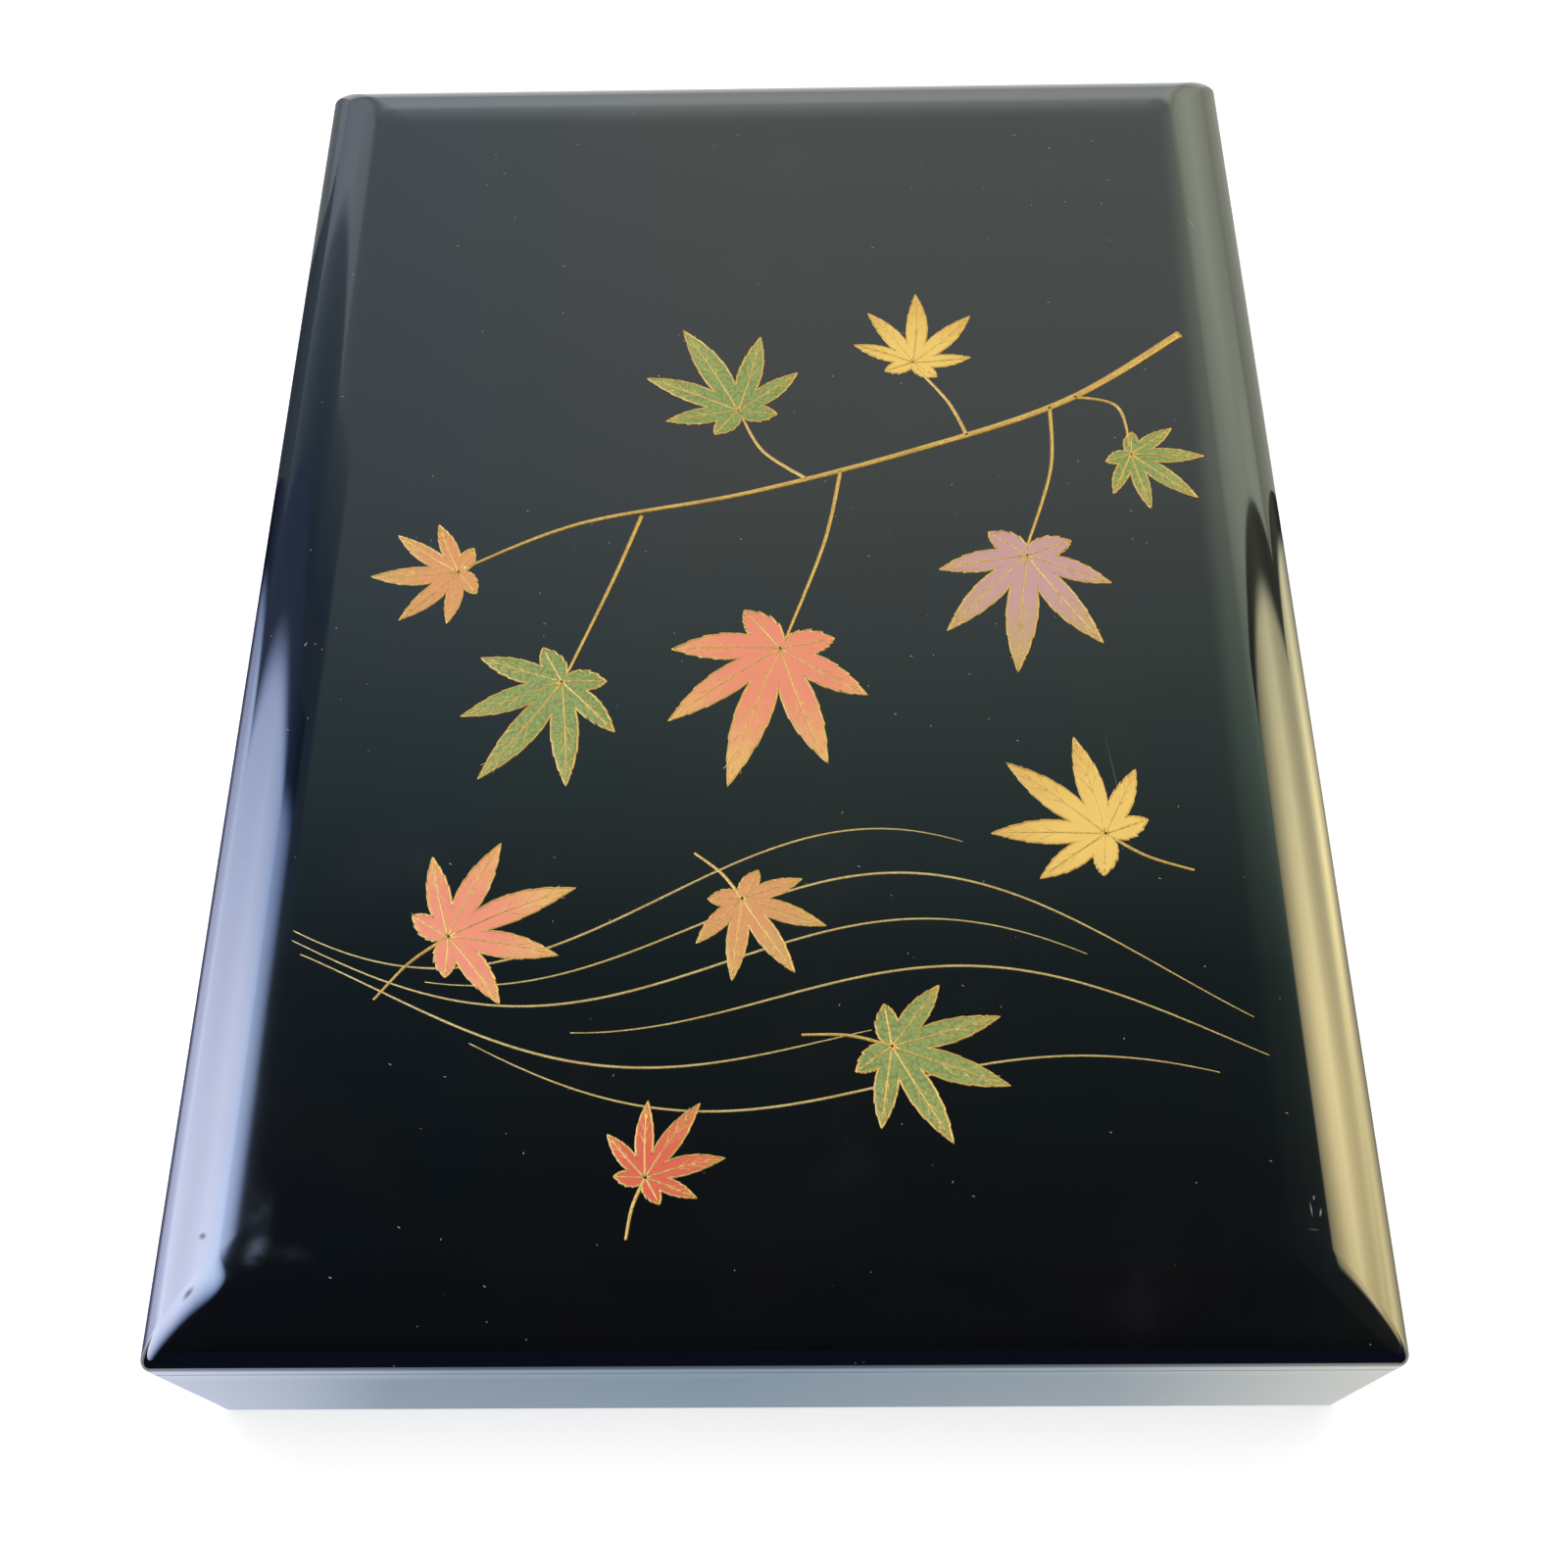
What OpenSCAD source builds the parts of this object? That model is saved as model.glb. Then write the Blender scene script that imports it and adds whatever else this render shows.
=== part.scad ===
// Letter box in black lacquer: a mitred box with a raised inner rim and a round-shouldered lift-off lid.
// Origin at the middle of the footprint on the table, +Z up, the front at -Y, millimetres.

/* [Overall] */
// Outside width, across the short side
box_w = 240; // [200:1:320]
// Outside length, along the long side
box_l = 335; // [260:1:420]
// Height of the box walls, from the table to the lid's seam
wall_h = 49; // [36:1:90]
// Plan radius of the four upright corners
corner_r = 2; // [1:0.25:4]
// Width of the small bevel along both edges of the seam
seam_bevel = 0.4; // [0.2:0.1:0.8]

/* [Box walls] */
// Thickness of the walls
wall_t = 9; // [8:0.5:12]
// Round along the lower outer edge of the walls
foot_r = 1.5; // [0.5:0.25:3]

/* [Bottom board] */
// Thickness of the bottom board
bottom_t = 5; // [3:0.5:8]
// Height of the bottom board above the table
bottom_lift = 3; // [2:0.5:6]
// Depth of the groove that holds the bottom board
groove_d = 4; // [2:0.5:5]

/* [Raised rim] */
// Thickness of the rim strips
rim_t = 4; // [3:0.5:5]
// Height that the rim stands above the walls
rim_stand = 7; // [5:0.5:9]
// Depth of the rebate that the rim is glued into
rim_seat = 10; // [6:0.5:14]
// Round along the top edges of the rim
rim_r = 1; // [0.5:0.25:1.5]

/* [Lid] */
// Height of the lid's upright lip
lip_h = 5; // [4:0.5:10]
// Rise of the round shoulder, from the lip to the flat top
shoulder_rise = 11; // [10:0.5:14]
// Run of the round shoulder, from the outside face to the flat top
shoulder_run = 17; // [15:0.5:24]
// Thickness of the top panel's edge, in its rebate
panel_edge_t = 4; // [3:0.5:6]
// Width of the ledge that carries the top panel
panel_ledge = 7; // [4:0.5:12]
// Bevel inside the lip's lower edge that leads it onto the rim
lip_lead = 0.8; // [0.4:0.1:1.5]
// Gap around the rim when the lid is on
lid_fit = 0.3; // [0.2:0.05:0.6]
// Headroom between the rim's top and the lid's ceiling
rim_headroom = 1; // [0.5:0.25:2]

/* [Mitre tongues] */
// Thickness of the loose tongues
tongue_t = 1.6; // [1.2:0.2:2.4]
// Width of a wall's tongue across the mitre
wall_tongue_w = 5; // [4:0.5:6]
// Width of a lid rail's tongue across the mitre
rail_tongue_w = 8; // [5:0.5:9]
// Distance from the lid's faces in to the middle of its tongues
rail_tongue_in = 12; // [11:0.5:14]
// Wood left around a tongue
tongue_cover = 1.2; // [0.8:0.1:2]

/* [Glued fits] */
// Slack of a tongue or board in its groove
glue_fit = 0.1; // [0.05:0.05:0.2]

/* [Hidden] */

$fn = 96;

// Sides and corners run counter-clockwise, and each corner is at the left end of its side
SIDES = ["front", "right", "back", "left"];
CORNERS = ["front_left", "front_right", "back_right", "back_left"];

LACQUER = [0.05, 0.05, 0.06];
SATIN = [0.09, 0.09, 0.1];
WOOD = [0.76, 0.6, 0.42];

// Overlap that lets a cut pass clean through a face
over = 1;

groove_top = bottom_lift + bottom_t + glue_fit;
rim_foot = wall_h - rim_seat;
rim_top = wall_h + rim_stand;
rim_outer = wall_t - rim_t;
lip_t = rim_outer - lid_fit;
ceiling = rim_top + rim_headroom;
lip_top = wall_h + lip_h;
lid_top = lip_top + shoulder_rise;
ledge = lid_top - panel_edge_t;
rail_w = shoulder_run + panel_ledge;

// The shoulder is one arc, level where it meets the flat top
shoulder_r = (pow(shoulder_run, 2) + pow(shoulder_rise, 2)) / (2 * shoulder_rise);
shoulder_centre = lid_top - shoulder_r;

// How far a tongue set across a mitre reaches to either side of its middle, along the walls
function tongue_reach(width) = (width + tongue_t) / (2 * sqrt(2));

// Height of the shoulder's surface at a distance in from the outside face
function shoulder_z(inset) = shoulder_centre + sqrt(pow(shoulder_r, 2) - pow(shoulder_run - inset, 2));

wall_tongue_in = wall_t / 2;
wall_tongue_low = groove_top + tongue_cover;
wall_tongue_high = rim_foot - tongue_cover;
rail_tongue_low = ceiling + tongue_cover;
rail_tongue_high = shoulder_z(rail_tongue_in - tongue_reach(rail_tongue_w)) - tongue_cover;

function place(name, names) = search([name], names)[0];
function turn(name, names) = place(name, names) * 360 / len(names);
function is_short(side) = side == "front" || side == "back";
function span(side) = is_short(side) ? box_w : box_l;
function depth(side) = (is_short(side) ? box_l : box_w) / 2;

// The corner at either end of a side
function ends(side) = [
  CORNERS[place(side, SIDES)],
  CORNERS[(place(side, SIDES) + 1) % len(CORNERS)]
];

// What is cut from a square corner at the origin to leave a round of radius r
module corner_waste(r) {
  difference() {
    translate([-over, -over]) square(r + over);
    translate([r, r]) circle(r);
  }
}

// Outline of one side seen from above: mitred at both ends, with its share of the rounded corners
module side_plan(side, width) {
  long = span(side) / 2;
  difference() {
    translate([0, -depth(side)])
      polygon([[-long, 0], [long, 0], [long - width, width], [width - long, width]]);
    for (end = [0, 1])
      mirror([end, 0])
        translate([-long, -depth(side)]) corner_waste(corner_r);
  }
}

// Sweeps a profile (inward from the outside face, up from the table) along one side and mitres its ends
module mitred_bar(side, width, low, high) {
  rotate([0, 0, turn(side, SIDES)])
    intersection() {
      translate([-span(side) / 2, -depth(side), 0])
        rotate([90, 0, 90])
          linear_extrude(span(side)) children();
      translate([0, 0, low - over])
        linear_extrude(high - low + 2 * over) side_plan(side, width);
    }
}

// Places a tongue upright across the mitre at one corner, its middle at the given distance in
module at_mitre(corner, inset) {
  side = SIDES[place(corner, CORNERS)];
  rotate([0, 0, turn(corner, CORNERS)])
    translate([inset - span(side) / 2, inset - depth(side), 0])
      rotate([0, 0, 45]) children();
}

module tongue(width, low, high, slack) {
  translate([-tongue_t / 2 - slack, -width / 2 - slack, low - slack])
    cube([tongue_t + 2 * slack, width + 2 * slack, high - low + 2 * slack]);
}

module wall_tongue(corner, slack = 0) {
  at_mitre(corner, wall_tongue_in)
    tongue(wall_tongue_w, wall_tongue_low, wall_tongue_high, slack);
}

module rail_tongue(corner, slack = 0) {
  at_mitre(corner, rail_tongue_in)
    tongue(rail_tongue_w, rail_tongue_low, rail_tongue_high, slack);
}

// Section of a box wall: groove near the foot, rebate for the rim, bevel at the seam
module wall_profile() {
  difference() {
    polygon([
      [0, 0],
      [wall_t, 0],
      [wall_t, bottom_lift],
      [wall_t - groove_d, bottom_lift],
      [wall_t - groove_d, groove_top],
      [wall_t, groove_top],
      [wall_t, rim_foot],
      [rim_outer, rim_foot],
      [rim_outer, wall_h],
      [seam_bevel, wall_h],
      [0, wall_h - seam_bevel]
    ]);
    corner_waste(foot_r);
  }
}

module box_wall(side) {
  color(LACQUER)
    difference() {
      mitred_bar(side, wall_t, 0, wall_h) wall_profile();
      for (corner = ends(side)) wall_tongue(corner, glue_fit);
    }
}

// Section of a rim strip, rounded along both top edges
module rim_profile() {
  difference() {
    translate([rim_outer, rim_foot]) square([rim_t, rim_seat + rim_stand]);
    translate([rim_outer, rim_top]) mirror([0, 1]) corner_waste(rim_r);
    translate([wall_t, rim_top]) rotate(180) corner_waste(rim_r);
  }
}

module rim_strip(side) {
  color(SATIN)
    mitred_bar(side, wall_t, rim_foot, rim_top) rim_profile();
}

// Section of a lid rail: lip, round shoulder, ledge for the top panel, ceiling over the rim
module rail_profile() {
  difference() {
    polygon([
      [seam_bevel, wall_h],
      [lip_t - lip_lead, wall_h],
      [lip_t, wall_h + lip_lead],
      [lip_t, ceiling],
      [rail_w, ceiling],
      [rail_w, ledge],
      [shoulder_run, ledge],
      [shoulder_run, lid_top],
      [0, lid_top],
      [0, wall_h + seam_bevel]
    ]);
    difference() {
      translate([-over, lip_top]) square([shoulder_run + over, shoulder_rise + over]);
      translate([shoulder_run, shoulder_centre]) circle(shoulder_r, $fn = 240);
    }
  }
}

module lid_rail(side) {
  color(LACQUER)
    difference() {
      mitred_bar(side, rail_w, wall_h, lid_top) rail_profile();
      for (corner = ends(side)) rail_tongue(corner, glue_fit);
    }
}

// A board centred on the part, its edges at a distance in from the outside faces
module board(inset, low, high) {
  translate([inset - box_w / 2, inset - box_l / 2, low])
    cube([box_w - 2 * inset, box_l - 2 * inset, high - low]);
}

module box_front_wall() { box_wall("front"); }
module box_right_wall() { box_wall("right"); }
module box_back_wall() { box_wall("back"); }
module box_left_wall() { box_wall("left"); }

module box_bottom_board() {
  color(SATIN)
    board(wall_t - groove_d + glue_fit, bottom_lift, bottom_lift + bottom_t);
}

module rim_front_strip() { rim_strip("front"); }
module rim_right_strip() { rim_strip("right"); }
module rim_back_strip() { rim_strip("back"); }
module rim_left_strip() { rim_strip("left"); }

module box_tongue_front_left() { color(WOOD) wall_tongue("front_left"); }
module box_tongue_front_right() { color(WOOD) wall_tongue("front_right"); }
module box_tongue_back_right() { color(WOOD) wall_tongue("back_right"); }
module box_tongue_back_left() { color(WOOD) wall_tongue("back_left"); }

module lid_front_rail() { lid_rail("front"); }
module lid_right_rail() { lid_rail("right"); }
module lid_back_rail() { lid_rail("back"); }
module lid_left_rail() { lid_rail("left"); }

// The top panel is rebated: its edge lies on the rails' ledge and its middle fills the frame to the ceiling
module lid_top_panel() {
  color(LACQUER)
    union() {
      board(shoulder_run, ledge, lid_top);
      board(rail_w + glue_fit, ceiling, ledge);
    }
}

module lid_tongue_front_left() { color(WOOD) rail_tongue("front_left"); }
module lid_tongue_front_right() { color(WOOD) rail_tongue("front_right"); }
module lid_tongue_back_right() { color(WOOD) rail_tongue("back_right"); }
module lid_tongue_back_left() { color(WOOD) rail_tongue("back_left"); }

box_front_wall();
box_right_wall();
box_back_wall();
box_left_wall();
box_bottom_board();
rim_front_strip();
rim_right_strip();
rim_back_strip();
rim_left_strip();
box_tongue_front_left();
box_tongue_front_right();
box_tongue_back_right();
box_tongue_back_left();
lid_front_rail();
lid_right_rail();
lid_back_rail();
lid_left_rail();
lid_top_panel();
lid_tongue_front_left();
lid_tongue_front_right();
lid_tongue_back_right();
lid_tongue_back_left();
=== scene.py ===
"""Looks of the lacquer letter box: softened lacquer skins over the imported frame, a raised design on the lid,
and a pale studio seen from the photograph's camera. Metres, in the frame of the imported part."""

import math
import random

import bmesh
import bpy
from mathutils import Matrix, Vector


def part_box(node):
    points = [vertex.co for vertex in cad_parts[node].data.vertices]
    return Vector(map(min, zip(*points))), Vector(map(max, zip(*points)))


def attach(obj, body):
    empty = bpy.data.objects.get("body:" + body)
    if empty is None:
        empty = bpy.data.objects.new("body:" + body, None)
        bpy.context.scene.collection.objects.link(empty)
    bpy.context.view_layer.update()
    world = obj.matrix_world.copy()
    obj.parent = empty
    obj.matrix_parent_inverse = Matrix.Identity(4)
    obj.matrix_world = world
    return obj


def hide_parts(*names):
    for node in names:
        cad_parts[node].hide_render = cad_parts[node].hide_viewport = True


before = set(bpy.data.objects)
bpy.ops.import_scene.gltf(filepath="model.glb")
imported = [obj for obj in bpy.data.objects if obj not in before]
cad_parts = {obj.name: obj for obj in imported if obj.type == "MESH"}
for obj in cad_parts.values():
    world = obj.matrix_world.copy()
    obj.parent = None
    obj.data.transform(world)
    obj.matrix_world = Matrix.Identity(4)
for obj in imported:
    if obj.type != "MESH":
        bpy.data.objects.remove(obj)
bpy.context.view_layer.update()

MM = 0.001


# Sizes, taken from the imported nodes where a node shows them

HALF_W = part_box("box_right_wall")[1].x
HALF_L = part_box("box_back_wall")[1].y
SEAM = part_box("box_front_wall")[1].z
LID_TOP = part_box("lid_top_panel")[1].z
RUN = HALF_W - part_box("lid_top_panel")[1].x
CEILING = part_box("lid_top_panel")[0].z
RAIL_W = HALF_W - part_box("lid_right_rail")[0].x
WALL_T = HALF_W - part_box("box_right_wall")[0].x
RIM_OUTER = HALF_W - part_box("rim_right_strip")[1].x
RIM_FOOT, RIM_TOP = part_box("rim_right_strip")[0].z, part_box("rim_right_strip")[1].z
BOARD_LOW, BOARD_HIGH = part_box("box_bottom_board")[0].z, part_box("box_bottom_board")[1].z
GROOVE = HALF_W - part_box("box_bottom_board")[1].x

# The lid's lip, its play on the rim and its lead-in, and the thickness of the top panel's edge
LIP = 5 * MM
LIP_FIT = 0.3 * MM
LIP_LEAD = 0.8 * MM
PANEL_EDGE = 4 * MM

# The softened edges of the skins, the plan radii of their corners, and the ease of shoulder into flat top
FOOT_R = 1.5 * MM
RIM_R = 1 * MM
SEAM_R = 0.25 * MM
ARRIS_R = 5 * MM
CORNER_R = 2 * MM
CORE_R = 1 * MM
FLAT_CORNER_R = 4 * MM
HIP_BULGE = 1.5 * MM
EASE_RUN = 6 * MM
EASE_R = 125 * MM
EASE_TILT = 3.2

# Each side: direction along it, direction inward, half its length, distance of its face from the middle
SIDES = {
    "front": (Vector((1, 0, 0)), Vector((0, 1, 0)), HALF_W, HALF_L),
    "right": (Vector((0, 1, 0)), Vector((-1, 0, 0)), HALF_L, HALF_W),
    "back": (Vector((-1, 0, 0)), Vector((0, -1, 0)), HALF_W, HALF_L),
    "left": (Vector((0, -1, 0)), Vector((1, 0, 0)), HALF_L, HALF_W),
}
CORNERS = ("front_left", "front_right", "back_right", "back_left")

# Steps of the rounds
CORNER_STEPS = 10
SEAM_STEPS = 4
ARRIS_STEPS = 8
SHOULDER_STEPS = 32
RAIL_EASE_STEPS = 2
PANEL_EASE_STEPS = 8
FOOT_STEPS = 6
RIM_STEPS = 6


# Meshes

def add_object(name, mesh):
    piece = bpy.data.objects.new(name, mesh)
    bpy.context.scene.collection.objects.link(piece)
    return piece


def dress(piece, body, slot, *nodes):
    """Ties a piece to its body and hides the nodes that it stands for; the slot is not used."""
    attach(piece, body)
    if nodes:
        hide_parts(*nodes)


def arc(centre, radius, start, end, steps):
    """Points (inset, z) of an arc with the outward normal at each, angles in degrees."""
    points = []
    for i in range(steps + 1):
        angle = math.radians(start + (end - start) * i / steps)
        normal = (math.cos(angle), math.sin(angle))
        points.append((centre[0] + radius * normal[0], centre[1] + radius * normal[1], *normal))
    return points


def widening(corner_r, d):
    """How fast the plan radius of a corner grows with the inset."""
    step = 0.01 * MM
    return (corner_r(d + step) - corner_r(d - step)) / (2 * step)


def mitred_bar(name, side, skin, core, corner_r, materials):
    """A bar swept along one side with mitred ends, whose shown skin turns the corners on rounds.

    skin is a run of (inset, z, normal inset, normal z), core the sharp hidden points that close the section,
    and corner_r gives the plan radius of the corner at an inset."""
    along, inward, half, reach = SIDES[side]
    section = [(d, z, corner_r(d)) for d, z, *normal in skin] + [(d, z, CORE_R) for d, z in core]
    count = len(section)
    turns = [(end, math.radians(45) * (i if end > 0 else CORNER_STEPS - i) / CORNER_STEPS)
             for end in (-1, 1) for i in range(CORNER_STEPS + 1)]

    vertices = []
    normals = []
    for end, turn in turns:
        sin, cos = math.sin(turn), math.cos(turn)
        for d, z, r in section:
            across = half - (d + r - r * sin)
            depth = d + r - r * cos - reach
            vertices.append(along * (end * across) + inward * depth + Vector((0, 0, z)))
        for d, z, normal_d, normal_z in skin:
            growth = widening(corner_r, d) * normal_z
            run_x = normal_z + growth - growth * sin
            run_y = normal_z + growth - growth * cos
            normal = Vector((normal_d * sin, normal_d * cos, run_x * sin + run_y * cos)).normalized()
            normals.append(along * (-end * normal.x) + inward * normal.y + Vector((0, 0, normal.z)))

    faces = []
    for i in range(len(turns) - 1):
        for j in range(count):
            k = (j + 1) % count
            faces.append((i * count + j, (i + 1) * count + j, (i + 1) * count + k, i * count + k))
    last = (len(turns) - 1) * count
    faces.append(tuple(range(count)))
    faces.append(tuple(range(last, last + count)))

    mesh = bpy.data.meshes.new(name)
    mesh.from_pydata(vertices, [], faces)
    work = bmesh.new()
    work.from_mesh(mesh)
    bmesh.ops.recalc_face_normals(work, faces=work.faces)
    work.to_mesh(mesh)
    work.free()

    for material in materials:
        mesh.materials.append(material)
    shading = []
    for face in mesh.polygons:
        shown = len(face.vertices) == 4 and all(v % count < len(skin) for v in face.vertices)
        face.use_smooth = shown
        face.material_index = 0 if shown else len(materials) - 1
        for v in face.vertices:
            shading.append(normals[v // count * len(skin) + v % count] if shown else (0, 0, 0))
    mesh.normals_split_custom_set(shading)
    return add_object(name, mesh)


# Sections of the bars

EASE_CENTRE = Vector((RUN + EASE_RUN, LID_TOP - EASE_R))
EASE_END = math.degrees(math.asin(EASE_RUN / EASE_R))


def shoulder_round():
    """Centre and radius of the shoulder's main round, from the lip to where it eases into the flat top."""
    tilt = math.radians(EASE_TILT)
    inward = Vector((math.sin(tilt), -math.cos(tilt)))
    start = EASE_CENTRE - EASE_R * inward
    chord = Vector((0, SEAM + LIP)) - start
    radius = chord.length_squared / (2 * chord.dot(inward))
    return start + radius * inward, radius


def hip_r(d):
    """Plan radius of the lid's corners: it grows from the lip to the flat top, and bulges on the way."""
    share = min(max(d / (RUN + EASE_RUN), 0), 1)
    return CORNER_R + (FLAT_CORNER_R - CORNER_R) * share + HIP_BULGE * 4 * share * (1 - share)


def plain_r(d):
    return CORNER_R


def rim_corner_r(d):
    return CORE_R


def rail_section():
    """A lid rail: lip, arris, shoulder and ease outside; panel's rebate, ceiling and lead-in inside."""
    centre, radius = shoulder_round()
    arris_z = centre.y + math.sqrt((radius - ARRIS_R) ** 2 - (centre.x - ARRIS_R) ** 2)
    arris_end = 180 - math.degrees(math.atan2(arris_z - centre.y, centre.x - ARRIS_R))
    skin = arc((SEAM_R, SEAM + SEAM_R), SEAM_R, 270, 180, SEAM_STEPS)
    skin += arc((ARRIS_R, arris_z), ARRIS_R, 180, arris_end, ARRIS_STEPS)
    skin += arc(centre, radius, arris_end, 90 + EASE_TILT, SHOULDER_STEPS)[1:]
    skin += arc(EASE_CENTRE, EASE_R, 90 + EASE_TILT, 90 + EASE_END, RAIL_EASE_STEPS)[1:]
    lip_t = RIM_OUTER - LIP_FIT
    core = [
        (RUN, LID_TOP - PANEL_EDGE), (RAIL_W, LID_TOP - PANEL_EDGE), (RAIL_W, CEILING), (lip_t, CEILING),
        (lip_t, SEAM + LIP_LEAD), (lip_t - LIP_LEAD, SEAM),
    ]
    return skin, core


def wall_section():
    """A wall: its face outside; the rim's rebate and the bottom board's groove inside."""
    skin = arc((FOOT_R, FOOT_R), FOOT_R, 270, 180, FOOT_STEPS)
    skin += arc((SEAM_R, SEAM - SEAM_R), SEAM_R, 180, 90, SEAM_STEPS)
    core = [
        (RIM_OUTER, SEAM), (RIM_OUTER, RIM_FOOT), (WALL_T, RIM_FOOT), (WALL_T, BOARD_HIGH),
        (GROOVE, BOARD_HIGH), (GROOVE, BOARD_LOW), (WALL_T, BOARD_LOW), (WALL_T, 0),
    ]
    return skin, core


def rim_section():
    """A strip of the raised rim, round at its two upper edges."""
    skin = [(RIM_OUTER, RIM_FOOT, -1, 0)]
    skin += arc((RIM_OUTER + RIM_R, RIM_TOP - RIM_R), RIM_R, 180, 90, RIM_STEPS)
    skin += arc((WALL_T - RIM_R, RIM_TOP - RIM_R), RIM_R, 90, 0, RIM_STEPS)
    skin += [(WALL_T, RIM_FOOT, 1, 0)]
    return skin, []


def plan_outline(inset, corner_r):
    """Points of the box's outline at an inset, with the outward direction at each."""
    points = []
    for x, y, start in ((1, -1, -90), (1, 1, 0), (-1, 1, 90), (-1, -1, 180)):
        middle = Vector((x * (HALF_W - inset - corner_r), y * (HALF_L - inset - corner_r)))
        for i in range(2 * CORNER_STEPS + 1):
            angle = math.radians(start + 45 * i / CORNER_STEPS)
            outward = Vector((math.cos(angle), math.sin(angle)))
            points.append((middle + corner_r * outward, outward))
    return points


def panel_skin(name, materials):
    """The lid's top panel: flat, eased down a hair at its edges to meet the rails, and stepped underneath."""
    top = arc(EASE_CENTRE, EASE_R, 90, 90 + EASE_END, PANEL_EASE_STEPS)
    ledge = LID_TOP - PANEL_EDGE
    rings = [(d, z, hip_r(d)) for d, z, *normal in top] + [(RUN, ledge, hip_r(RUN))]
    rings += [(RAIL_W, ledge, CORE_R), (RAIL_W, CEILING, CORE_R)]
    outlines = [plan_outline(d, r) for d, z, r in rings]
    count = len(outlines[0])

    vertices = [(*point, z) for (d, z, r), outline in zip(rings, outlines) for point, outward in outline]
    faces = [tuple(range(count))]
    for i in range(len(rings) - 1):
        for j in range(count):
            k = (j + 1) % count
            faces.append((i * count + j, (i + 1) * count + j, (i + 1) * count + k, i * count + k))
    last = (len(rings) - 1) * count
    faces.append(tuple(range(last + count - 1, last - 1, -1)))

    mesh = bpy.data.meshes.new(name)
    mesh.from_pydata(vertices, [], faces)
    for material in materials:
        mesh.materials.append(material)
    shading = []
    for face in mesh.polygons:
        shown = all(v < len(top) * count for v in face.vertices)
        face.use_smooth = shown
        face.material_index = 0 if shown else len(materials) - 1
        for v in face.vertices:
            d, z, normal_d, normal_z = top[v // count] if shown else (0, 0, 0, 0)
            outward = outlines[0][v % count][1]
            growth = widening(hip_r, d) * normal_z
            rise = (normal_z + growth) * (abs(outward.x) + abs(outward.y)) - growth
            shading.append(Vector((*(outward * -normal_d), rise)).normalized())
    mesh.normals_split_custom_set(shading)
    return add_object(name, mesh)


# Materials

# Solid part of a speck's radius, a scratch's cell in its own widths, and a reach that takes in every height
SPECK_CORE = 0.6
SCRATCH_CELL = 12
ANY_HEIGHT = 1000


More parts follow.
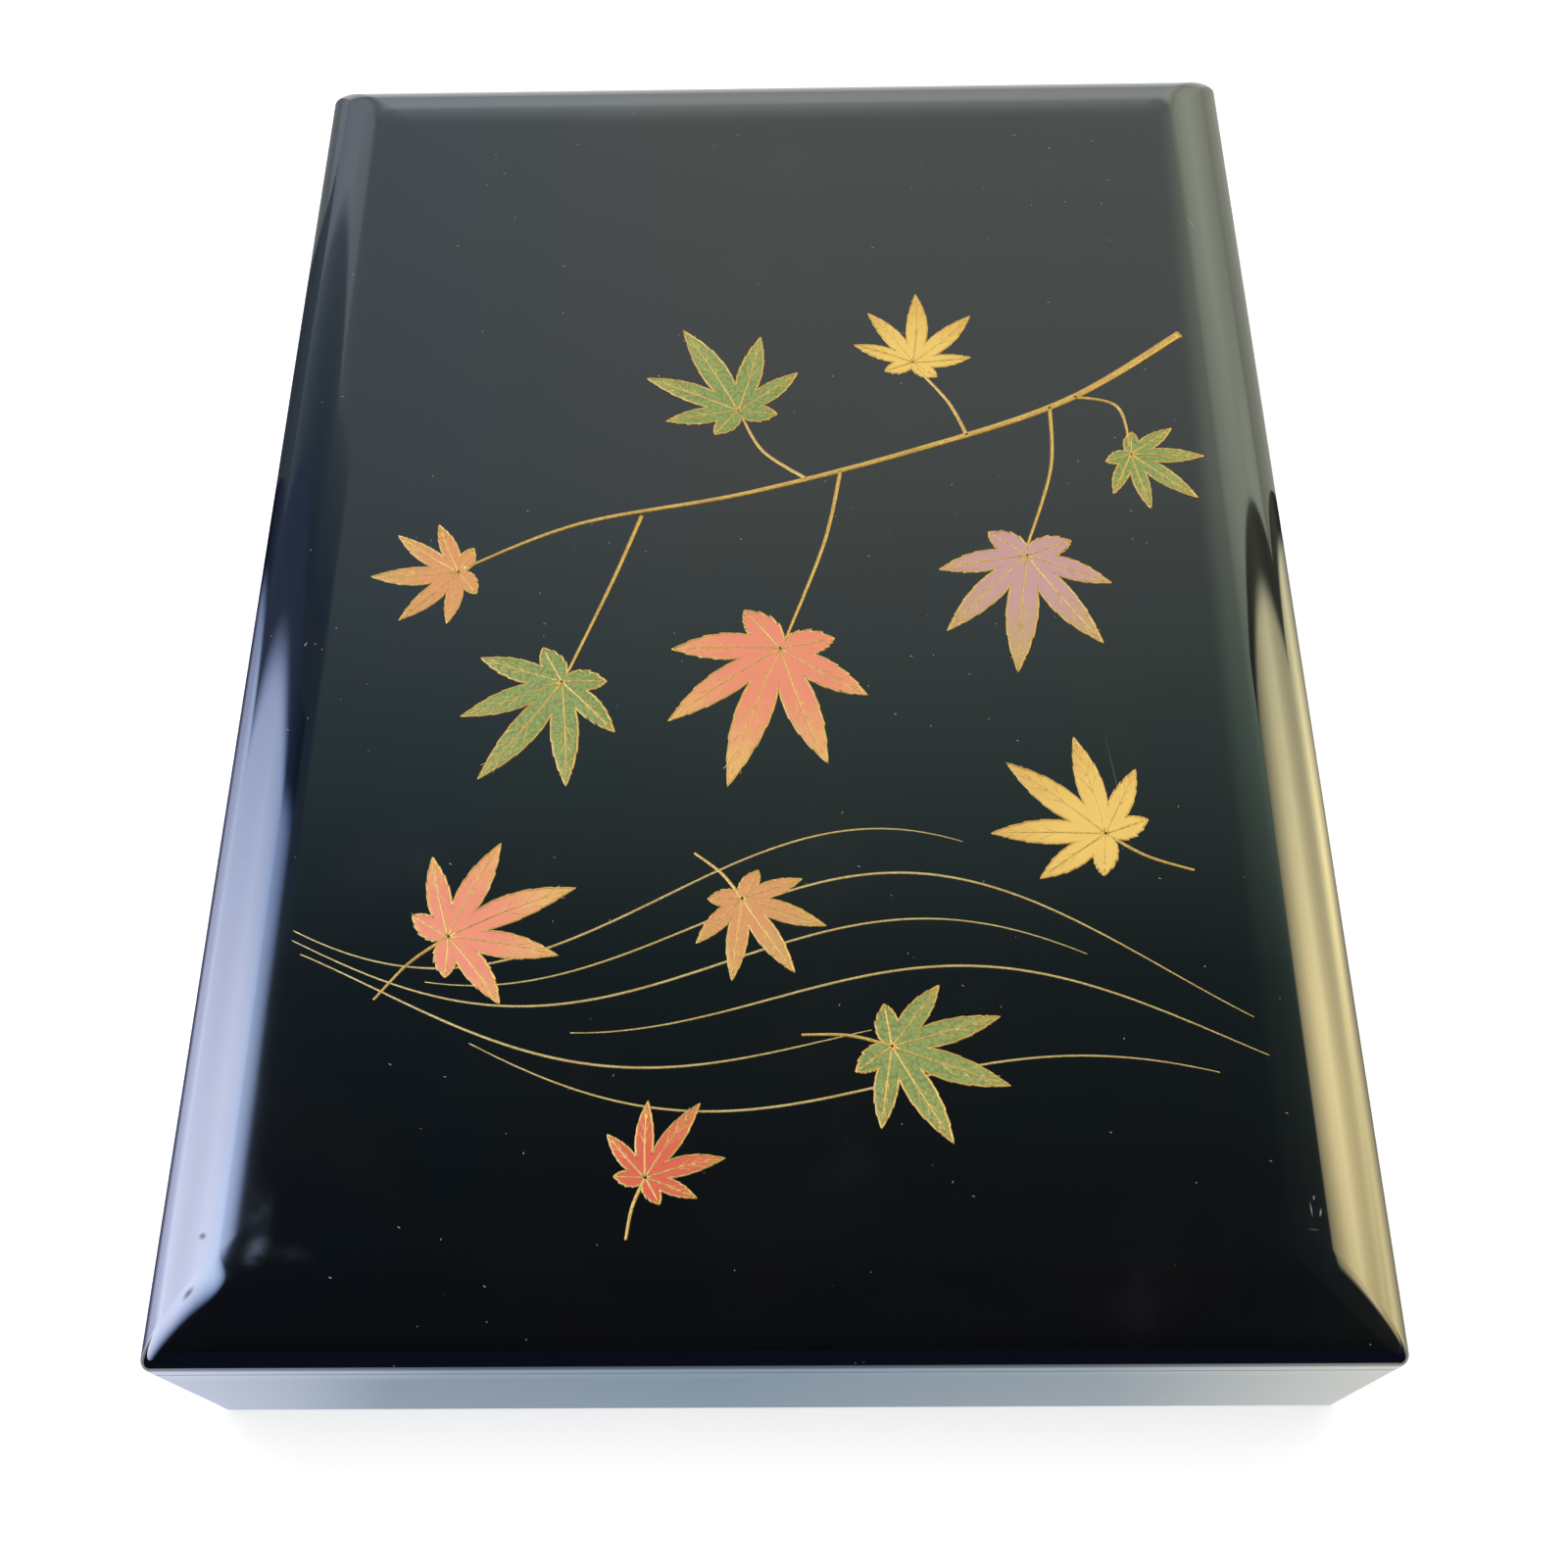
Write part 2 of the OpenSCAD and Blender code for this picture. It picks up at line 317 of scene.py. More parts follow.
class Graph:
    """Builds the nodes of one material, or of the world, around its shader.

    Positions are the part's own, in metres."""

    def __init__(self, owner, shader="Principled BSDF", coordinates="Object", **settings):
        owner.use_nodes = True
        self.owner = owner
        self.tree = owner.node_tree
        self.shader = self.tree.nodes[shader]
        self.position = self.add("ShaderNodeTexCoord").outputs[coordinates]
        self.x, self.y, self.z = self.add("ShaderNodeSeparateXYZ", {0: self.position}).outputs
        for socket, value in settings.items():
            self.drive(socket, value)

    def add(self, kind, inputs=None, **properties):
        node = self.tree.nodes.new(kind)
        for key, value in properties.items():
            setattr(node, key, value)
        for socket, value in (inputs or {}).items():
            self.put(node.inputs[socket], value)
        return node

    def put(self, socket, value):
        if isinstance(value, bpy.types.NodeSocket):
            self.tree.links.new(value, socket)
        else:
            socket.default_value = value

    def drive(self, socket, value):
        self.put(self.shader.inputs[socket], value)

    def math(self, operation, a, b=0.0):
        return self.add("ShaderNodeMath", {0: a, 1: b}, operation=operation).outputs[0]

    def grade(self, value, low, high, to_low, to_high):
        """Maps low..high onto to_low..to_high with a smooth, clamped step."""
        inputs = {"Value": value, 1: low, 2: high, 3: to_low, 4: to_high}
        return self.add("ShaderNodeMapRange", inputs, interpolation_type="SMOOTHSTEP").outputs[0]

    def level(self, value, low, high, to_low, to_high):
        """Maps low..high onto to_low..to_high on a straight line, clamped."""
        inputs = {"Value": value, 1: low, 2: high, 3: to_low, 4: to_high}
        return self.add("ShaderNodeMapRange", inputs).outputs[0]

    def blend(self, share, a, b, how="MIX"):
        return self.add("ShaderNodeMix", {0: share, 6: a, 7: b}, data_type="RGBA", blend_type=how).outputs[2]

    def ramp(self, value, stops, ease="LINEAR"):
        """A colour that runs through stops of (place, colour) as value goes from 0 to 1."""
        node = self.add("ShaderNodeValToRGB", {0: value})
        node.color_ramp.interpolation = ease
        elements = node.color_ramp.elements
        elements.remove(elements[1])
        for i, (place, colour) in enumerate(stops):
            element = elements.new(place) if i else elements[0]
            element.position = place
            element.color = (*colour, 1)
        return node.outputs[0]

    def surface(self, shader):
        """Puts another shader in the place of the material's own."""
        self.put(self.tree.nodes["Material Output"].inputs["Surface"], shader.outputs[0])
        self.tree.nodes.remove(self.shader)

    def stretched(self, scale, turn=(0, 0, 0)):
        """The part's positions, turned and then scaled along each axis."""
        turned = self.add("ShaderNodeMapping", {"Vector": self.position, "Rotation": turn})
        return self.add("ShaderNodeMapping", {"Vector": turned.outputs[0], "Scale": scale}).outputs[0]

    def noise(self, size, detail=3, rough=0.5, at=None):
        """Noise from 0 to 1 whose features are about that many metres across."""
        inputs = {"Vector": at or self.position, "Scale": 1 / size, "Detail": detail, "Roughness": rough}
        return self.add("ShaderNodeTexNoise", inputs).outputs["Fac"]

    def specks(self, size, radius, kept, at=None):
        """1 inside spots of that radius, one to a cell of that size, of which only a share is kept."""
        cell = self.add("ShaderNodeTexVoronoi", {"Vector": at or self.position, "Scale": 1 / size})
        chance = self.add("ShaderNodeSeparateColor", {0: cell.outputs["Color"]}).outputs[0]
        spot = self.grade(cell.outputs["Distance"], SPECK_CORE * radius / size, radius / size, 1, 0)
        return self.math("MULTIPLY", spot, self.math("GREATER_THAN", chance, 1 - kept))

    def scratches(self, length, width, kept, turn):
        """1 inside hairlines of that length and width that all run about one way."""
        at = self.stretched((width / length, 1, 1), (0, 0, math.radians(turn)))
        return self.specks(SCRATCH_CELL * width, width / 2, kept, at)

    def spots(self, rows):
        """The strongest of several soft oval spots on the plan, in millimetres.

        Each is given as (middle, half its length, half its breadth, turn in degrees, strength)."""
        total = 0
        for (x, y), length, breadth, turn, strength in rows:
            inputs = {
                "Vector": self.position,
                "Location": (x * MM, y * MM, 0),
                "Rotation": (0, 0, math.radians(turn)),
                "Scale": (length * MM, breadth * MM, ANY_HEIGHT),
            }
            local = self.add("ShaderNodeMapping", inputs, vector_type="TEXTURE").outputs[0]
            away = self.add("ShaderNodeVectorMath", {0: local}, operation="LENGTH").outputs["Value"]
            total = self.math("MAXIMUM", total, self.grade(away, 0, 1, strength, 0))
        return total

    def bump(self, height, depth):
        node = self.add("ShaderNodeBump", {"Height": height, "Distance": depth, "Strength": 1.0})
        self.drive("Normal", node.outputs[0])


def new_material(name):
    return bpy.data.materials.new(name)


def linear(red, green, blue):
    """A colour as it looks on screen, 0 to 255, as the linear colour that a shader takes."""
    def channel(value):
        value /= 255
        return value / 12.92 if value <= 0.04045 else ((value + 0.055) / 1.055) ** 2.4
    return (channel(red), channel(green), channel(blue), 1)


LACQUER_BLACK = (0.0012, 0.0026, 0.0034, 1)
LACQUER_BROWN = (0.0024, 0.0024, 0.0026, 1)
SATIN_BLACK = (0.004, 0.004, 0.0042, 1)
SATIN_BROWN = (0.008, 0.0075, 0.007, 1)
DUST = linear(178, 180, 178)
HAZE = linear(96, 102, 104)
SMUDGE = linear(86, 98, 112)
WOOD_DARK = linear(150, 112, 74)
WOOD_LIGHT = linear(206, 172, 128)
# A dark colour painted into the wrinkles' creases as shade
CREASE_SHADE = (0.05, 0.05, 0.02, 1)

# Refraction of the polished lacquer and of the rest
GLOSS_IOR = 1.75
PLAIN_IOR = 1.5

# Roughness from smoothest to roughest, and what marks add to the polished lacquer's
GLOSS_ROUGH = (0.045, 0.08)
SATIN_ROUGH = (0.3, 0.42)
WOOD_ROUGH = (0.55, 0.75)
GOLD_ROUGH = (0.3, 0.5)
LEAF_ROUGH = (0.32, 0.5)
MARK_ROUGH, DENT_ROUGH, SMUDGE_ROUGH = 0.4, 0.3, 0.25

# How strongly dust, hairlines and haze show on the polished lacquer, its shine whole and dented, and
# a dent's depth beside the height of its waves
DUST_SHOW, HAIR_SHOW, HAZE_SHOW = 0.6, 0.22, 0.05
SHINE, DENT_SHINE = 0.5, 0.2
DENT_DEPTH = 0.35

# Lines per metre along each axis: brush lines of the satin lacquer and grain of the wood
BRUSH_LINES = (20, 900, 900)
WOOD_LINES = (900, 900, 40)

# Marks of handling on the lid: middle, half length, half breadth, turn and strength,
# in millimetres and degrees
SCUFFS = (
    ((103, -138.5), 0.6, 0.25, 77, 0.6),
    ((102.2, -140.7), 1.8, 0.25, 92, 0.45),
    ((103.9, -141.3), 1.1, 0.28, 76, 0.6),
    ((102.2, -144.5), 1.5, 0.2, -6, 0.2),
    ((73.5, -52.5), 19, 0.25, -83, 0.14),
    ((105.8, 107.7), 2.8, 0.2, -63, 0.4),
    ((-103.8, -13.6), 0.8, 0.3, 65, 0.6),
)
DENTS = (
    ((-107.95, -144.4), 1.2, 1.0, 0, 1),
    ((-109.3, -155), 2.2, 0.9, 49, 1),
)
SMUDGES = (
    ((-97.1, -147.2), 4.6, 3.4, 60, 0.42),
    ((-97.2, -141), 8, 3.6, 90, 0.16),
    ((-91.4, -147.9), 7, 2.6, -5, 0.08),
)


def gloss_lacquer(name):
    """Polished black lacquer: faintly wavy, with dust, hairline scratches and a few marks of handling."""
    g = Graph(new_material(name), IOR=GLOSS_IOR)
    long_dust = g.scratches(length=0.8 * MM, width=0.24 * MM, kept=0.4, turn=25)
    short_dust = g.scratches(length=0.6 * MM, width=0.22 * MM, kept=0.4, turn=120)
    dust = g.math("MAXIMUM", long_dust, short_dust)
    hairs = g.scratches(length=12 * MM, width=0.15 * MM, kept=0.06, turn=112)
    marks = g.math("MAXIMUM", g.math("MULTIPLY", dust, DUST_SHOW), g.math("MULTIPLY", hairs, HAIR_SHOW))
    marks = g.math("MAXIMUM", marks, g.spots(SCUFFS))
    dents = g.spots(DENTS)
    cloud = g.noise(40 * MM, 3, 0.6)
    blotches = g.grade(g.noise(3 * MM, 4, 0.6), 0.35, 0.65, 0.35, 1)
    smudge = g.math("MULTIPLY", g.spots(SMUDGES), blotches)

    coat = g.blend(g.grade(cloud, 0.35, 0.65, 0, 1), LACQUER_BLACK, LACQUER_BROWN)
    coat = g.blend(g.grade(cloud, 0.58, 0.82, 0, HAZE_SHOW), coat, HAZE)
    coat = g.blend(smudge, coat, SMUDGE)
    g.drive("Base Color", g.blend(marks, coat, DUST))
    rough = g.math("ADD", g.grade(cloud, 0.3, 0.75, *GLOSS_ROUGH), g.math("MULTIPLY", marks, MARK_ROUGH))
    rough = g.math("ADD", rough, g.math("MULTIPLY", dents, DENT_ROUGH))
    g.drive("Roughness", g.math("ADD", rough, g.math("MULTIPLY", smudge, SMUDGE_ROUGH)))
    g.drive("Specular IOR Level", g.level(dents, 0, 1, SHINE, DENT_SHINE))
    wave = g.math("SUBTRACT", g.noise(38 * MM, 1), g.math("MULTIPLY", dents, DENT_DEPTH))
    g.bump(wave, 0.06 * MM)
    return g.owner


def satin_lacquer(name):
    """The rubbed black lacquer of the inside, with fine brush lines."""
    g = Graph(new_material(name), IOR=PLAIN_IOR)
    brush = g.noise(1, 4, 0.6, g.stretched(BRUSH_LINES))
    dust = g.specks(size=4 * MM, radius=0.25 * MM, kept=0.08)
    coat = g.blend(g.noise(50 * MM, 3), SATIN_BLACK, SATIN_BROWN)
    g.drive("Base Color", g.blend(g.math("MULTIPLY", dust, 0.5), coat, DUST))
    g.drive("Roughness", g.grade(g.noise(12 * MM, 4), 0.3, 0.7, *SATIN_ROUGH))
    g.bump(brush, 0.02 * MM)
    return g.owner


def planed_wood(name):
    """The bare wood of the hidden tongues."""
    g = Graph(new_material(name))
    grain = g.noise(1, 4, 0.6, g.stretched(WOOD_LINES))
    g.drive("Base Color", g.blend(grain, WOOD_DARK, WOOD_LIGHT))
    g.drive("Roughness", g.grade(grain, 0.3, 0.7, *WOOD_ROUGH))
    g.bump(grain, 0.05 * MM)
    return g.owner


def gold_powder(name, light, dark):
    """Gold powder set in lacquer: grainy and worn thin in places, more matt than metal."""
    g = Graph(new_material(name), Metallic=0.25, IOR=PLAIN_IOR)
    grain = g.noise(0.35 * MM, 3, 0.7)
    worn = g.grade(g.noise(7 * MM, 3, 0.6), 0.45, 0.75, 0, 0.55)
    powder = g.blend(g.grade(grain, 0.3, 0.7, 0, 1), dark, light)
    g.drive("Base Color", g.blend(worn, powder, dark))
    g.drive("Roughness", g.grade(grain, 0.3, 0.7, *GOLD_ROUGH))
    g.bump(grain, 0.02 * MM)
    return g.owner


def leaf_lacquer(name, heart, tip, wrinkle):
    """Coloured lacquer shaded with gold powder towards the tips, over a wrinkled or smooth ground whose sunken
    creases are darkened with painted shade.
    """
    g = Graph(new_material(name), IOR=PLAIN_IOR)
    reach = g.add("ShaderNodeAttribute", attribute_name="tip").outputs["Fac"]
    cloud = g.math("MULTIPLY", g.math("SUBTRACT", g.noise(4 * MM, 4, 0.6), 0.5), 0.5)
    shade = g.grade(g.math("ADD", reach, cloud), 0.3, 0.95, 0, 1)
    powder = g.grade(g.noise(0.3 * MM, 2, 0.7), 0.42, 0.62, 0, 1)
    share = g.math("MULTIPLY", shade, g.grade(powder, 0, 1, 0.6, 1))
    cells = g.add("ShaderNodeTexVoronoi", {"Vector": g.position, "Scale": 1 / (0.8 * MM)})
    creased = g.math("MULTIPLY", g.grade(cells.outputs["Distance"], 0.35, 0.75, 0, 1), wrinkle)
    colour = g.blend(share, heart, tip)
    # Painted shade: the sunken creases of a wrinkled ground are darkened here, where the bump sinks them
    g.drive("Base Color", g.blend(g.math("MULTIPLY", creased, 0.35), colour, CREASE_SHADE))
    g.drive("Roughness", g.grade(powder, 0, 1, *LEAF_ROUGH))
    relief = g.math("ADD", g.math("MULTIPLY", powder, 0.12), g.math("MULTIPLY", creased, -1))
    g.bump(relief, 0.06 * MM)
    return g.owner


# The design on the lid: maple leaves on a branch and adrift on flowing water,
# in millimetres on the flat top

DESIGN_SEED = 11
PALE_GOLD = linear(226, 206, 132)
WARM_GOLD = linear(232, 190, 92)
DARK_GOLD = linear(170, 132, 62)

# Colours of a leaf's heart and tips, and how far its ground is wrinkled, which sets both its bumps and the
# painted shade in its creases
LEAF_COLOURS = {
    "coral": (linear(240, 138, 100), linear(236, 190, 98), 0),
    "mauve": (linear(202, 152, 146), linear(196, 166, 84), 0),
    "yellow": (linear(242, 200, 92), linear(222, 168, 70), 0),
    "green": (linear(140, 158, 70), linear(164, 172, 84), 1),
    "ochre": (linear(226, 150, 84), linear(212, 170, 84), 0.25),
    "vermilion": (linear(222, 84, 42), linear(228, 120, 60), 0),
}

# Colour, place of the leaf's heart, length of its middle lobe, the way it points in degrees from +X
BRANCH_LEAVES = (
    ("mauve", (58, 8), 31, 262),
    ("coral", (2, -16), 36, 250),
    ("green", (-8, 50), 27, 112),
    ("green", (-46, -24), 28, 240),
    ("ochre", (-71, 5), 21, 190),
    ("yellow", (34, 64), 22, 78),
    ("green", (84, 36), 19, 320),
)
DRIFTING_LEAVES = (
    ("coral", (-66, -84), 27, 30),
    ("green", (24, -108), 25, 338),
    ("yellow", (70, -62), 27, 140),
    ("vermilion", (-24, -134), 17, 60),
    ("ochre", (-6, -76), 20, 300),
)

# Lobes of one half of a leaf as (angle, length), how far those of each leaf may differ, and a leaf's curl
LOBES = ((0, 1.0), (38, 0.88), (76, 0.66), (120, 0.34))
LOBE_TURN = 3
LOBE_STRETCH = (0.94, 1.05)
LEAF_CURL = 0.12

# Radius of the notches between lobes, its fixed share and its share that goes with the lobes' length,
# the radius beside the stalk, and the toothed edges
SINUS = 0.29
SINUS_SHARES = (0.55, 0.45)
STALK_NOTCH = 0.05
TEETH = 5
TOOTH = 0.035
EDGE_STEPS = 20
EDGE_CURVE = 1.15

# Veins that leave a midrib at shares of its length: how far they spread and reach
VEIN_SHARES = (0.42, 0.58, 0.74)
VEIN_SPREAD = 0.231
VEIN_REACH = 0.16
MIDRIB_STEPS = 12

# Heights above the flat top
LEAF_TOP = 0.16
LINE_TOP = 0.24
EDGE_TOP = LINE_TOP - 0.04
VEIN_TOP = LINE_TOP - 0.03
VEIN_FOOT = LEAF_TOP - 0.08
WATER_TOP = 0.12
SUNK = -0.02

# A leaf's body, as (share of its reach, height)
BLADE_LEVELS = ((0.35, LEAF_TOP), (0.65, LEAF_TOP), (0.88, LEAF_TOP), (0.97, 0.7 * LEAF_TOP), (1, SUNK))

# Breadths of lines, from thick to thin, and of a leaf's edge with its gain for each millimetre of length
BRANCH_WIDTH = (2.2, 0.8)
TWIG_WIDTH = (1.1, 0.7)
STALK_WIDTH = (0.9, 0.6)
MIDRIB_WIDTH = (0.6, 0.3)
VEIN_WIDTH = (0.3, 0.18)
EDGE_WIDTH, EDGE_GAIN = 0.42, 0.004

BRANCH = ((99, 72), (70, 52), (34, 38), (-6, 26), (-44, 18), (-70, 6))
TWIGS = (
    ((66, 50), (65, 32), (58, 10)),
    ((16, 32), (12, 12), (3, -14)),
    ((8, 30), (-2, 38), (-7, 48)),
    ((-30, 20), (-36, 2), (-45, -22)),
    ((46, 42), (42, 52), (35, 62)),
    ((72, 53), (82, 50), (84, 38)),
)

# A drifting leaf's stalk: its knots and its bend, in lengths of the leaf
STALK_SHARES = (0, 0.35, 0.7)
STALK_BEND = 0.36

# The water's lines as (row, left end, right end), their breadth at the ends and in the middle,
# their middle row, its fall to the right, its waves, and the gap between rows, which waves too
WATER_LINES = ((3, -98, 40), (2, -70, 96), (1, -98, 64), (0, -40, 98), (-1, -96, 20), (-2, -60, 88))
WATER_WIDTH = (0.25, 0.62)
WATER_STEPS = 120
WATER_Y = -98
WATER_FALL = 0.1
WAVE_HEIGHT, WAVE_LENGTH, WAVE_SHIFT = 11, 29, 0.22
ROW_GAP, GAP_SWING, GAP_LENGTH, GAP_SHIFT = 6.5, 3.2, 37, 0.8

# What lines have in place of a leaf's share of reach
LINE_TIP = 0.5


class Relief:
    """Collects thin raised shapes on the lid's flat top into one closed mesh."""

    def __init__(self):
        self.vertices = []
        self.faces = []
        self.tips = []

    def put(self, points, tips):
        start = len(self.vertices)
        for x, y, z in points:
            self.vertices.append((x * MM, y * MM, LID_TOP + z * MM))
        self.tips.extend(tips)
        return start

    def tube(self, rings, closed):
        """Skins rings of equal count, and caps the two ends of an open tube."""
        count = len(rings[0])
        start = self.put([p for ring in rings for p in ring], [LINE_TIP] * count * len(rings))
        pairs = range(len(rings) if closed else len(rings) - 1)
        for i in pairs:
            k = (i + 1) % len(rings)
            for j in range(count):
                m = (j + 1) % count
                corners = (i * count + j, i * count + m, k * count + m, k * count + j)
                self.faces.append(tuple(start + v for v in corners))
        if not closed:
            last = (len(rings) - 1) * count
            self.faces.append(tuple(start + j for j in reversed(range(count))))
            self.faces.append(tuple(start + last + j for j in range(count)))

    def ribbon(self, path, width, low, high, closed=False):
        """A raised line along a path; width gives its breadth at a share of its length."""
        rings = []
        for i, (x, y) in enumerate(path):
            before = path[i - 1] if i or closed else path[0]
            after = path[(i + 1) % len(path)] if i + 1 < len(path) or closed else path[-1]
            way = Vector((after[0] - before[0], after[1] - before[1])).normalized()
            half = width(i / (len(path) - 1)) / 2
            ring = []
            for side, z in ((-1, low), (-0.5, high), (0.5, high), (1, low)):
                ring.append((x - way.y * half * side, y + way.x * half * side, z))
            rings.append(ring)
        self.tube(rings, closed)

    def blade(self, heart, outline, length):
        """A leaf's body: a low plateau with a soft margin, closed underneath."""
        count = len(outline)
        points = [(heart[0], heart[1], LEAF_TOP)]
        for share, z in BLADE_LEVELS:
            for x, y in outline:
                points.append((heart[0] + (x - heart[0]) * share, heart[1] + (y - heart[1]) * share, z))
        tips = [math.hypot(x - heart[0], y - heart[1]) / length for x, y, z in points]
        start = self.put(points, tips)
        for j in range(count):
            k = (j + 1) % count
            self.faces.append((start, start + 1 + j, start + 1 + k))
            for i in range(len(BLADE_LEVELS) - 1):
                low, high = start + 1 + i * count, start + 1 + (i + 1) * count
                self.faces.append((low + j, high + j, high + k, low + k))
        edge = start + 1 + (len(BLADE_LEVELS) - 1) * count
        self.faces.append(tuple(edge + j for j in reversed(range(count))))

    def finish(self, name, material, slot):
        mesh = bpy.data.meshes.new(name)
        mesh.from_pydata(self.vertices, [], self.faces)
        mesh.attributes.new("tip", "FLOAT", "POINT").data.foreach_set("value", self.tips)
        mesh.polygons.foreach_set("use_smooth", [True] * len(mesh.polygons))
        mesh.materials.append(material)
        dress(add_object(name, mesh), "lid", slot)


def smooth_path(knots, steps=12):
    """A curve through the knots (Catmull-Rom)."""
    points = [Vector(k) for k in (knots[0], *knots, knots[-1])]
    path = []
    for i in range(1, len(points) - 2):
        a, b, c, d = points[i - 1:i + 3]
        for j in range(steps):
            t = j / steps
            path.append(0.5 * (2 * b + (c - a) * t + (2 * a - 5 * b + 4 * c - d) * t ** 2
                               + (3 * b - a - 3 * c + d) * t ** 3))
    path.append(points[-1])
    return [(p.x, p.y) for p in path]


def taper(thick, thin):
    """The breadth of a line that thins along its length."""
    return lambda share: thick + (thin - thick) * share


def swell(thin, thick):
    """The breadth of a line that is thickest in its middle."""
    return lambda share: thin + (thick - thin) * math.sin(math.pi * share) ** 0.8


def maple_lobes(draw):
    """The lobes of one leaf as (angle, length), from one side of its stalk round to the other."""
    turned = [(-a, n) for a, n in reversed(LOBES[1:])] + list(LOBES)
    lobes = []
    for angle, length in turned:
        angle = math.radians(angle + draw.uniform(-LOBE_TURN, LOBE_TURN))
        lobes.append((angle, length * draw.uniform(*LOBE_STRETCH)))
    return lobes


def maple_outline(lobes):
    """Outline round a leaf's heart, in lengths of its middle lobe, as (angle, radius)."""
    fixed, gain = SINUS_SHARES
    notches = [(math.radians(-180), STALK_NOTCH)]
    for (a, n), (b, m) in zip(lobes, lobes[1:]):
        notches.append(((a + b) / 2, SINUS * (fixed + gain * min(n, m))))
    notches.append((math.radians(180), STALK_NOTCH))
    outline = []
    for lobe, before, after in zip(lobes, notches, notches[1:]):
        for notch, rising in ((before, True), (after, False)):
            for i in range(EDGE_STEPS):
                share = i / EDGE_STEPS if rising else 1 - i / EDGE_STEPS
                tooth = TOOTH * (share * TEETH % 1) * math.sin(math.pi * share)
                angle = lobe[0] + (notch[0] - lobe[0]) * (1 - share) ** EDGE_CURVE
                outline.append((angle, notch[1] + (lobe[1] - notch[1]) * share + tooth))
    return outline


def maple_leaf(blades, lines, heart, length, heading, draw):
    """Adds a leaf's body to blades, and its edge, midribs and veins to lines."""
    lobes = maple_lobes(draw)
    curl = draw.uniform(-LEAF_CURL, LEAF_CURL)

    def spot(angle, radius):
        way = math.radians(heading) + angle + curl * radius
        return heart[0] + length * radius * math.cos(way), heart[1] + length * radius * math.sin(way)

    outline = [spot(a, r) for a, r in maple_outline(lobes)]
    blades.blade(heart, outline, length)
    edge = EDGE_WIDTH + EDGE_GAIN * length
    lines.ribbon(outline, lambda share: edge, SUNK, EDGE_TOP, closed=True)
    for angle, reach in lobes:
        midrib = [spot(angle, reach * i / MIDRIB_STEPS) for i in range(MIDRIB_STEPS)]
        lines.ribbon(midrib, taper(*MIDRIB_WIDTH), VEIN_FOOT, LINE_TOP)
        for share in VEIN_SHARES:
            for side in (-1, 1):
                spread = side * VEIN_SPREAD * reach * (1 - share)
                vein = [spot(angle + spread * t, reach * (share + VEIN_REACH * t)) for t in (0, 0.5, 1)]
                lines.ribbon(vein, taper(*VEIN_WIDTH), VEIN_FOOT, VEIN_TOP)


def stalk_path(heart, length, heading):
    """The bent stalk of a drifting leaf, from its heart out."""
    back = math.radians(heading + 180)
    ahead = Vector((math.cos(back), math.sin(back)))
    aside = Vector((-math.sin(back), math.cos(back)))
    knots = []
    for share in STALK_SHARES:
        knots.append(Vector(heart) + length * (share * ahead + STALK_BEND * share ** 2 * aside))
    return smooth_path(knots)


def flowing_line(row, start, end):
    """One line of the water: long shared waves, drawn together in places and apart in others."""
    path = []
    for i in range(WATER_STEPS + 1):
        x = start + (end - start) * i / WATER_STEPS
        gap = ROW_GAP + GAP_SWING * math.sin(x / GAP_LENGTH + GAP_SHIFT)
        wave = WAVE_HEIGHT * math.sin(x / WAVE_LENGTH + WAVE_SHIFT * row)
        path.append((x, WATER_Y + row * gap + wave - WATER_FALL * x))
    return path


def make_design():
    draw = random.Random(DESIGN_SEED)
    blades = {colour: Relief() for colour in LEAF_COLOURS}
    lines = Relief()
    for colour, heart, length, heading in BRANCH_LEAVES + DRIFTING_LEAVES:
        maple_leaf(blades[colour], lines, heart, length, heading, draw)
    lines.ribbon(smooth_path(BRANCH), taper(*BRANCH_WIDTH), SUNK, LINE_TOP)
    for knots in TWIGS:
        lines.ribbon(smooth_path(knots), taper(*TWIG_WIDTH), SUNK, LINE_TOP)
    for colour, heart, length, heading in DRIFTING_LEAVES:
        lines.ribbon(stalk_path(heart, length, heading), taper(*STALK_WIDTH), SUNK, LINE_TOP)
    water = Relief()
    for row, left, right in WATER_LINES:
        water.ribbon(flowing_line(row, left, right), swell(*WATER_WIDTH), SUNK, WATER_TOP)

    for colour, (heart_rgb, tip_rgb, wrinkle) in LEAF_COLOURS.items():
        material = leaf_lacquer(f"leaf_{colour}", heart_rgb, tip_rgb, wrinkle)
        blades[colour].finish(f"design_leaves_{colour}", material, "colour_design")
    lines.finish("design_gold_lines", gold_powder("gold_lines", WARM_GOLD, DARK_GOLD), "gold_design")
    water.finish("design_water_lines", gold_powder("pale_gold", PALE_GOLD, DARK_GOLD), "gold_design")


# The box

def make_box():
    gloss = gloss_lacquer("gloss_lacquer")
    satin = satin_lacquer("satin_lacquer")
    for side in SIDES:
        rail = mitred_bar(f"{side}_rail_skin", side, *rail_section(), hip_r, [gloss, satin])
        dress(rail, "lid", "outer_lacquer", f"lid_{side}_rail")
        wall = mitred_bar(f"{side}_wall_skin", side, *wall_section(), plain_r, [gloss, satin])
        dress(wall, "box", "outer_lacquer", f"box_{side}_wall")
        rim = mitred_bar(f"{side}_rim_skin", side, *rim_section(), rim_corner_r, [satin])
        dress(rim, "box", "inner_lacquer", f"rim_{side}_strip")

    dress(panel_skin("panel_skin", [gloss, satin]), "lid", "outer_lacquer", "lid_top_panel")

    finishes = {"box_bottom_board": satin}
    wood = planed_wood("planed_wood")
    for corner in CORNERS:
        finishes[f"box_tongue_{corner}"] = wood
        finishes[f"lid_tongue_{corner}"] = wood
    for node, material in finishes.items():
        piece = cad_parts[node]
        piece.data.materials.clear()
        piece.data.materials.append(material)


# The studio

